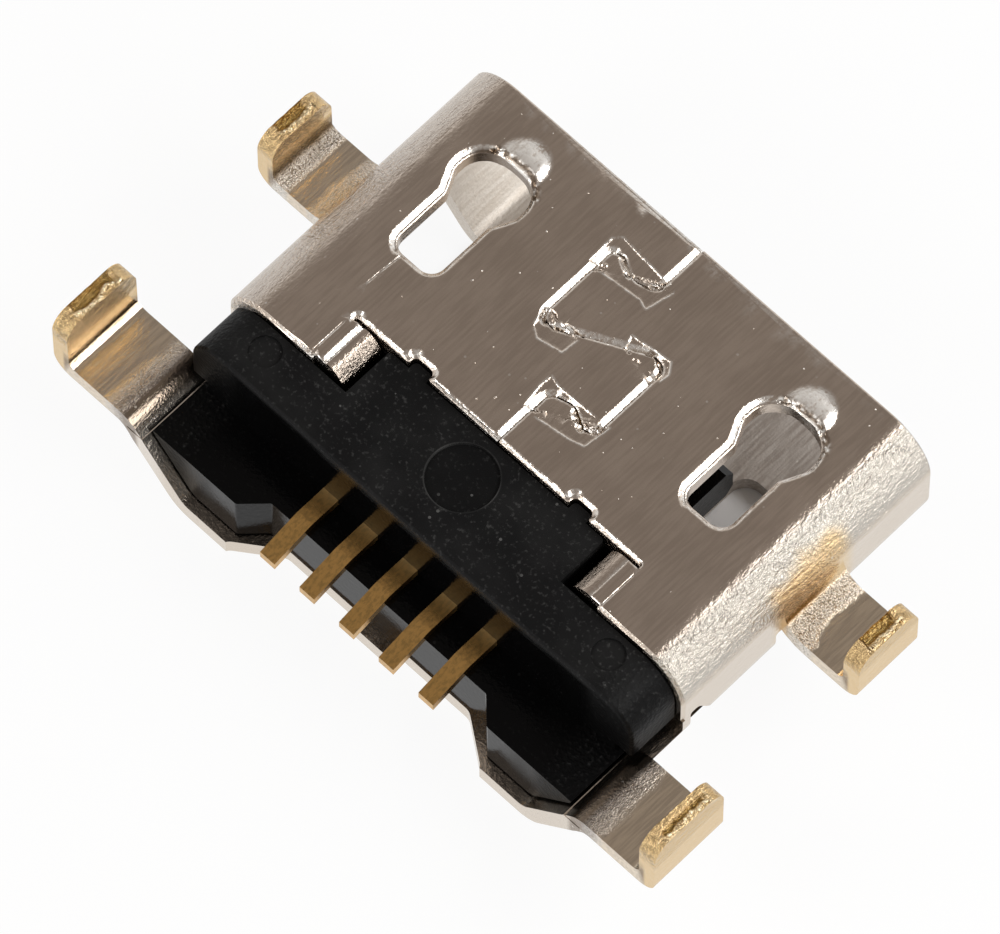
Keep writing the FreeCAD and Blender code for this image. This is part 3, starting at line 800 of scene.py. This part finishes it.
def roundTips(work):
    work.normal_update()
    for edge in cutRim(work):
        cuts = int(edge.calc_length() / mm / tipShape["step"])
        if cuts:
            bmesh.ops.subdivide_edges(work, edges=[edge], cuts=cuts)
    made = bmesh.ops.bevel(work, geom=cutRim(work), offset=tipShape["round"] * mm, segments=3, profile=0.5,
                           affect="EDGES", clamp_overlap=True)
    reach = tipShape["reach"] * mm
    for v in made["verts"]:
        push = noise.noise_vector(v.co * 16000) * tipShape["lumps"] * mm
        v.co += push - Vector((0, 0, abs(push.z) + push.z))
        v.co.x = max(-reach, min(reach, v.co.x))
    work.normal_update()


def tearTip(work, faces, skinLayer):
    # a torn hollow with lumps along one side of it, in the cut top of a leg's tip
    level = sum(v.co.z for f in faces for v in f.verts) / sum(len(f.verts) for f in faces)
    xs, ys = zip(*[v.co[:2] for f in faces for v in f.verts])
    left, right, front, back = (value / mm for value in (min(xs), max(xs), min(ys), max(ys)))
    grid = gridPoints(((left + 0.012, right - 0.008), (front + 0.012, back - 0.008)), tipShape["grid"])
    faces = bmesh.ops.triangulate(work, faces=faces)["faces"]
    made = retile(work, faces, grid, level, skinLayer, flatCover(faces))
    start, stop = tipShape["middleHollow" if left < 0 and front > 0 else "hollow"]

    def sideAt(y):
        return stop + tipShape["sway"] * noise.noise(Vector((left, y * 6, 0)))

    marks, ridgeLine = {}, []
    for v in made:
        x, y = v.co[:2]
        x, y = x / mm, y / mm
        share = (right - x) / (right - left)
        ends = min(y - front, back - y) + 0.05 * noise.noise(Vector((x * 12, 5, y)))
        hollow = float(smooth((sideAt(y) - share) / tipShape["flank"])
                       * smooth((share - start) / tipShape["flank"]) * smooth((ends - 0.05) / 0.05))
        ridge = math.exp(-((share - sideAt(y) - 0.14) / 0.13) ** 2)
        lump = noise.noise(Vector((x, y, 0)) * 24)
        v.co.z += (tipShape["ridge"] * ridge * abs(lump) - tipShape["sink"] * hollow * (1 + 0.3 * lump)) * mm
        # the ridge gets a painted highlight, the hollow the colour of cut metal
        marks[v] = (hollow, 0.8 * ridge)
    for y in np.arange(front + 0.04, back - 0.03, tipShape["beadStep"]):
        x = right - min(0.97, sideAt(y) + 0.12) * (right - left)
        ridgeLine.append((max(-tipShape["beadReach"], min(tipShape["beadReach"], x)), y, level / mm + 0.01))
    return marks, ridgeLine


def foldBends(work):
    (inner, outer), (low, high) = tipShape["bendZone"]
    (midX, midZ), radius = tipShape["bendMiddle"], tipShape["bendRadius"]
    folded = set()
    for v in work.verts:
        x, z = v.co.x / mm, v.co.z / mm
        if inner < x < outer and low < z < high:
            angle = math.atan2(max(0.0, x - midX), max(1e-6, midZ - z))
            turn = angle / (math.pi / 2)
            foldX = np.interp(turn, tipShape["foldTurns"], tipShape["foldAcross"])
            foldZ = np.interp(turn, tipShape["foldTurns"], tipShape["foldUp"])
            v.co.x += (foldX - midX - radius * math.sin(angle)) * mm
            v.co.z += (foldZ - midZ + radius * math.cos(angle)) * mm
            folded.add(v)
    return folded


def retile(work, faces, extra, level, skinLayer, cover):
    # fills the place of some flat faces with a fine mesh over the extra points; gives its vertices
    rim = skinRim(faces)
    rimVerts = list({v for edge in rim for v in edge.verts})
    index = {v: i for i, v in enumerate(rimVerts)}
    flat = [Vector((v.co.x / mm, v.co.y / mm)) for v in rimVerts]
    links = [tuple(index[v] for v in edge.verts) for edge in rim]
    flat += [Vector(p) for p in extra if cover.find_nearest((p[0], p[1], 0))[3] < 1e-5]
    spots, edges, triangles, origins, _, _ = delaunay_2d_cdt(flat, links, [], 0, 1e-5, True)
    bmesh.ops.delete(work, geom=faces, context="FACES")
    placed = []
    for spot, origin in zip(spots, origins):
        onRim = [i for i in origin if i < len(rimVerts)]
        placed.append(rimVerts[onRim[0]] if onRim else work.verts.new((spot.x * mm, spot.y * mm, level)))
    for triangle in triangles:
        middle = sum((spots[i] for i in triangle), Vector((0, 0))) / 3
        if cover.find_nearest((middle.x, middle.y, 0))[3] > 0.001:
            continue
        corners = [placed[i] for i in triangle]
        if len(set(corners)) == 3 and not work.faces.get(corners):
            face = work.faces.new(corners)
            face[skinLayer] = 1
            face.normal_update()
            if face.normal.z < 0:
                face.normal_flip()
    for v in [v for v in placed if not v.link_faces]:
        if v.is_valid:
            work.verts.remove(v)
    return [v for v in placed if v.is_valid and v.link_faces]


def flatCover(faces):
    corners = [v.co for face in faces for v in face.verts]
    return BVHTree.FromPolygons([(c.x / mm, c.y / mm, 0) for c in corners],
                                [list(range(3 * i, 3 * i + 3)) for i in range(len(faces))])


def sortEdges(work, cover):
    # the edges of the seam and of the windows, each with the way to its metal, and how the seam leans
    slit, punched, leans = [], [], {}
    for edge in (e for e in skinRim(skinFaces(work)) if isSlit(e) or isPunched(e)):
        a, b = (np.array(v.co[:2]) / mm for v in edge.verts)
        inward = np.array((b[1] - a[1], a[0] - b[0])) / np.hypot(*(b - a))
        probe = (a + b) / 2 + inward * 0.004
        if cover.find_nearest((probe[0], probe[1], 0))[3] > 1e-4:
            inward = -inward
        (slit if isSlit(edge) else punched).append((a, b, inward))
        if isSlit(edge):
            for v in edge.verts:
                leans[v] = leans.get(v, np.zeros(2)) - inward
    return slit, punched, leans


def tearTips(work, skinLayer):
    marks, lines = {}, []
    for side in (-1, 1):
        for front in (False, True):
            cut = [f for f in work.faces if isCut(f) and f.calc_center_median().x * side > 0
                   and (f.calc_center_median().y < 0) == front]
            made, line = tearTip(work, cut, skinLayer)
            marks.update(made)
            lines.append(line)
    return marks, lines


def liftSkin(work, upper, slit, punched, leans, skinLayer):
    points = np.array([v.co[:2] for v in upper]) / mm
    lift = skinHeight(points, slit, punched)
    rim = {v for edge in skinRim([f for f in work.faces if f[skinLayer]]) for v in edge.verts}
    for v, rise in zip(upper, lift):
        shake = noise.noise(v.co * 24000) * shellSkin["rimJitter"] if v in rim and abs(v.co.x) < 3 * mm else 0
        v.co.z += (rise - abs(shake)) * mm
        if v in leans:
            lean = leans[v] / max(1e-9, np.hypot(*leans[v])) * shellSkin["slitClose"] * mm
            v.co.x += lean[0]
            v.co.y += lean[1]
    return skinWearAndHighlights(points, slit, punched)


def writeAttribute(mesh, name, values):
    layer = mesh.attributes.new(name, "FLOAT", "POINT")
    for i, value in values.items():
        layer.data[i].value = value


def dressShell():
    known = packedNormals(cadNodes["shell"].data)
    work = bmesh.new()
    work.from_mesh(cadNodes["shell"].data)
    bmesh.ops.remove_doubles(work, verts=work.verts, dist=0.0005 * mm)
    skinLayer = work.faces.layers.int.new("skin")
    roundTips(work)
    cover = flatCover(skinFaces(work))
    for edge in [e for e in skinRim(skinFaces(work)) if e.calc_length() > 0.05 * mm]:
        step = 0.025 if isSlit(edge) else 0.05
        if isSlit(edge) or isPunched(edge):
            bmesh.ops.subdivide_edges(work, edges=[edge], cuts=int(edge.calc_length() / mm / step))
    slit, punched, leans = sortEdges(work, cover)
    retile(work, skinFaces(work), skinPoints(slit, punched), shellSkin["top"] * mm, skinLayer, cover)
    work.normal_update()
    marks, ridgeLines = tearTips(work, skinLayer)
    folded = foldBends(work)
    work.verts.index_update()
    upper = [v for v in work.verts if v.co.z > (shellSkin["top"] - 0.1) * mm]
    rest = {v.index: v.co.copy() for v in upper}
    wearAndHighlight, torn = liftSkin(work, upper, slit, punched, leans, skinLayer)
    wornAndHighlitValues = {**dict(zip(rest, wearAndHighlight)), **{v.index: ridge for v, (hollow, ridge) in marks.items()}}
    # the cut attribute holds the torn hollows of the tips and the painted shade of the torn window rims
    cutAndShadeValues = {**dict(zip(rest, torn)), **{v.index: hollow for v, (hollow, ridge) in marks.items()}}
    for face in work.faces:
        face.smooth = True
        face.normal_update()
    normals = cornerNormals(work, known, rest, skinLayer, folded)
    work.faces.layers.int.remove(skinLayer)
    mesh = bpy.data.meshes.new("shellDressed")
    work.to_mesh(mesh)
    work.free()
    mesh.normals_split_custom_set(normals)
    writeAttribute(mesh, "wornAndHighlit", wornAndHighlitValues)
    writeAttribute(mesh, "cut", cutAndShadeValues)
    piece = addObject("shellDressed", mesh)
    setMaterial(piece, shellMetal)
    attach(piece, "root")
    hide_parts("shell")
    print("shell dressed:", len(mesh.polygons), "faces")
    return ridgeLines


ridgeLines = dressShell()


# small plating nodules: beads along the torn rims of the leg tips, flecks on the walls

noduleSizes = {
    # radius and scatter in millimetres, share of the places along a rim that hold a bead
    "beads": {"Smallest": 0.009, "Largest": 0.03, "Scatter": 0.012},
    "beadShare": 0.85,
    "flecks": {"Smallest": 0.004, "Largest": 0.013},
    "flecksPerArea": 3.2,  # on a square millimetre
    "fleckHeights": (1.9, 2.41),  # they lie on the walls between these heights
    "fleckFront": -4.15,  # and behind this line
    "seed": 11,
}


def randomValue(tree, given, low, high, shift):
    seed = calc(tree, "ADD", given["Seed"], shift)
    return addNode(tree, "FunctionNodeRandomValue", {"Min": low, "Max": high, "Seed": seed},
                   data_type="FLOAT").outputs["Value"]


def placeNodules(tree, given, out, points, selection):
    # a small ball at each point, realised, marked bright as a painted highlight and given the material
    ball = addNode(tree, "GeometryNodeMeshIcoSphere", {"Radius": 1.0, "Subdivisions": 2})
    size = randomValue(tree, given, given["Smallest"], given["Largest"], 1.0)
    balls = addNode(tree, "GeometryNodeInstanceOnPoints",
                    {"Points": points, "Instance": ball.outputs["Mesh"], "Selection": selection,
                     "Scale": size})
    real = addNode(tree, "GeometryNodeRealizeInstances", {"Geometry": balls.outputs[0]})
    marked = addNode(tree, "GeometryNodeStoreNamedAttribute",
                     {"Geometry": real.outputs[0], "Name": "wornAndHighlit", "Value": 1.0},
                     data_type="FLOAT", domain="POINT")
    smoothed = addNode(tree, "GeometryNodeSetShadeSmooth", {"Geometry": marked.outputs[0]})
    coated = addNode(tree, "GeometryNodeSetMaterial",
                     {"Geometry": smoothed.outputs[0], "Material": given["Material"]})
    tree.links.new(coated.outputs[0], out.inputs[0])


def makeNoduleTree(name, inputs):
    return newTree(name, "GeometryNodeTree",
                   [("Geometry", "Geometry", None), ("Smallest", "Float", 1e-6), ("Largest", "Float", 1e-5),
                    ("Seed", "Int", 0), ("Material", "Material", None)] + inputs, [("Geometry", "Geometry")])


def makeBeadTree():
    tree, given, out, identifiers = makeNoduleTree("tipBeads", [("Share", "Float", 0.5),
                                                                ("Scatter", "Float", 1e-5)])
    aside = [randomValue(tree, given, -1.0, 1.0, shift) for shift in (2.0, 3.0, 4.0)]
    away = addNode(tree, "ShaderNodeCombineXYZ", dict(enumerate(aside))).outputs[0]
    offset = addNode(tree, "ShaderNodeVectorMath", {0: away, "Scale": given["Scatter"]}, operation="SCALE")
    moved = addNode(tree, "GeometryNodeSetPosition",
                    {"Geometry": given["Geometry"], "Offset": offset.outputs[0]})
    chosen = calc(tree, "LESS_THAN", randomValue(tree, given, 0.0, 1.0, 5.0), given["Share"])
    placeNodules(tree, given, out, moved.outputs[0], chosen)
    return tree, identifiers


def makeFleckTree():
    tree, given, out, identifiers = makeNoduleTree("wallFlecks", [("Density", "Float", 1e6)])
    strewn = addNode(tree, "GeometryNodeDistributePointsOnFaces",
                     {"Mesh": given["Geometry"], "Density": given["Density"], "Seed": given["Seed"]})
    placeNodules(tree, given, out, strewn.outputs["Points"], True)
    return tree, identifiers


def growPiece(name, ground, tree, identifiers, values):
    carrier = addObject(name + "Ground", ground)
    modifier = carrier.modifiers.new(name, "NODES")
    modifier.node_group = tree
    for label, value in {"Material": shellMetal, **values}.items():
        modifier[identifiers[label]] = value
    grown = carrier.evaluated_get(bpy.context.evaluated_depsgraph_get())
    mesh = bpy.data.meshes.new_from_object(grown)
    mesh.name = name
    carrier.modifiers.remove(modifier)
    bpy.data.objects.remove(carrier)
    piece = addObject(name, mesh)
    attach(piece, "root")
    print(name + ":", len(mesh.polygons), "faces")


def growTipBeads():
    ground = bpy.data.meshes.new("ridgeLines")
    points = [(x * mm, y * mm, z * mm) for line in ridgeLines for x, y, z in line]
    ground.from_pydata(points, [], [])
    growPiece("tipBeads", ground, *makeBeadTree(),
              {"Share": noduleSizes["beadShare"], "Seed": noduleSizes["seed"],
               **{label: size * mm for label, size in noduleSizes["beads"].items()}})


def growWallFlecks():
    source = bpy.data.objects["shellDressed"].data
    low, high = (height * mm for height in noduleSizes["fleckHeights"])
    corners, faces = [], []
    for face in source.polygons:
        spots = [source.vertices[i].co for i in face.vertices]
        onWall = min(p.z for p in spots) > low and max(p.z for p in spots) < high and face.normal.z > 0.2
        if onWall and min(p.y for p in spots) > noduleSizes["fleckFront"] * mm:
            faces.append(list(range(len(corners), len(corners) + len(spots))))
            corners += [tuple(p) for p in spots]
    ground = bpy.data.meshes.new("wallGround")
    ground.from_pydata(corners, [], faces)
    growPiece("wallFlecks", ground, *makeFleckTree(),
              {"Density": noduleSizes["flecksPerArea"] / (mm * mm), "Seed": noduleSizes["seed"] + 1,
               **{label: size * mm for label, size in noduleSizes["flecks"].items()}})


growTipBeads()
growWallFlecks()


# floor, light and camera

stageSizes = {
    "floorSize": 400.0,
    "floorDrop": 0.02,  # the floor lies this far under the object
    "floorColour": (0.93, 0.93, 0.93, 1.0),
    "floorGlow": 0.91,  # share of plain white that the floor shows by itself
    "glowSides": (1.9, 3.0),  # under the object it doesn't glow, and it does past these distances
    "glowEnds": (2.0, 2.6),
    "glowMiddle": -1.9,
    "skyTop": (0.325, 0.295, 0.275, 1.0),
    "skyRim": (0.95, 0.945, 0.94, 1.0),
    "skyHeights": (0.15, 0.8),
    # angles in degrees, size in millimetres, power in watts
    "lampDistance": 60,
    "lamps": {
        "sidePanel": {"azimuth": 215, "elevation": 41, "size": (60, 21), "power": 0.0235},
        "rearPanel": {"azimuth": 66, "elevation": 38, "size": (26, 20), "power": 0.0088},
    },
}

photoView = {"azimuth": 224.38, "elevation": 64.60, "roll": -0.16, "distance": 152.15,
             "target": (0.139, -0.911, 1.2), "lens": 465.8}


def makeFloor():
    half, low = stageSizes["floorSize"] * mm / 2, -stageSizes["floorDrop"] * mm
    mesh = bpy.data.meshes.new("floor")
    mesh.from_pydata([(-half, -half, low), (half, -half, low), (half, half, low), (-half, half, low)],
                     [], [(0, 1, 2, 3)])
    floor = addObject("floor", mesh)
    material, tree = newMaterial("paleFloor")
    pale = addNode(tree, "ShaderNodeBsdfDiffuse", {"Color": stageSizes["floorColour"]})
    white = addNode(tree, "ShaderNodeEmission", {"Color": (1, 1, 1, 1), "Strength": 1.0})
    rays = addNode(tree, "ShaderNodeLightPath").outputs
    seen = calc(tree, "MAXIMUM", calc(tree, "MAXIMUM", rays["Is Camera Ray"], rays["Is Glossy Ray"]),
                rays["Is Transmission Ray"])
    spot = separate(tree, millimetres(tree))
    sides = ramp(tree, calc(tree, "ABSOLUTE", spot["X"]), *stageSizes["glowSides"])
    ends = ramp(tree, offMiddle(tree, spot["Y"], stageSizes["glowMiddle"]), *stageSizes["glowEnds"])
    share = product(tree, seen, stageSizes["floorGlow"], calc(tree, "MAXIMUM", sides, ends))
    mix = addNode(tree, "ShaderNodeMixShader", {0: share, 1: pale.outputs[0], 2: white.outputs[0]})
    endMaterial(tree, mix)
    mesh.materials.append(material)


def makeSky():
    world = bpy.data.worlds.new("studio")
    bpy.context.scene.world = world
    world.use_nodes = True
    tree = world.node_tree
    tree.nodes.clear()
    height = separate(tree, addNode(tree, "ShaderNodeTexCoord").outputs["Generated"])["Z"]
    colour = mixColour(tree, ramp(tree, height, *stageSizes["skyHeights"]), stageSizes["skyRim"],
                       stageSizes["skyTop"])
    sky = addNode(tree, "ShaderNodeBackground", {"Color": colour, "Strength": 1.0})
    output = addNode(tree, "ShaderNodeOutputWorld")
    tree.links.new(sky.outputs[0], output.inputs["Surface"])


def addLamp(name, azimuth, elevation, size, power):
    a, e = math.radians(azimuth), math.radians(elevation)
    out = Vector((math.cos(a) * math.cos(e), math.sin(a) * math.cos(e), math.sin(e)))
    light = bpy.data.lights.new(name, "AREA")
    light.shape = "RECTANGLE"
    light.size, light.size_y = size[0] * mm, size[1] * mm
    light.energy = power
    lamp = addObject(name, light)
    place = Matrix.Translation(out * stageSizes["lampDistance"] * mm)
    lamp.matrix_world = place @ out.to_track_quat("Z", "Y").to_matrix().to_4x4()


def makeCamera():
    a, e, r = (math.radians(photoView[k]) for k in ("azimuth", "elevation", "roll"))
    right = Vector((math.cos(a), math.sin(a), 0))
    back = Vector((math.sin(a) * math.cos(e), -math.cos(a) * math.cos(e), math.sin(e)))
    up = back.cross(right)
    across = math.cos(r) * right + math.sin(r) * up
    upward = -math.sin(r) * right + math.cos(r) * up
    data = bpy.data.cameras.new("camera")
    data.sensor_width = 36
    data.sensor_fit = "HORIZONTAL"
    data.lens = photoView["lens"]
    data.clip_start = 0.002
    camera = addObject("camera", data)
    camera.matrix_world = Matrix((across, upward, back)).transposed().to_4x4()
    camera.matrix_world.translation = Vector(photoView["target"]) * mm + back * photoView["distance"] * mm
    bpy.context.scene.camera = camera


makeFloor()
makeSky()
for lampName, lampValues in stageSizes["lamps"].items():
    addLamp(lampName, **lampValues)
makeCamera()
bpy.context.scene.view_settings.view_transform = "Standard"
print("stage, light and camera ready")
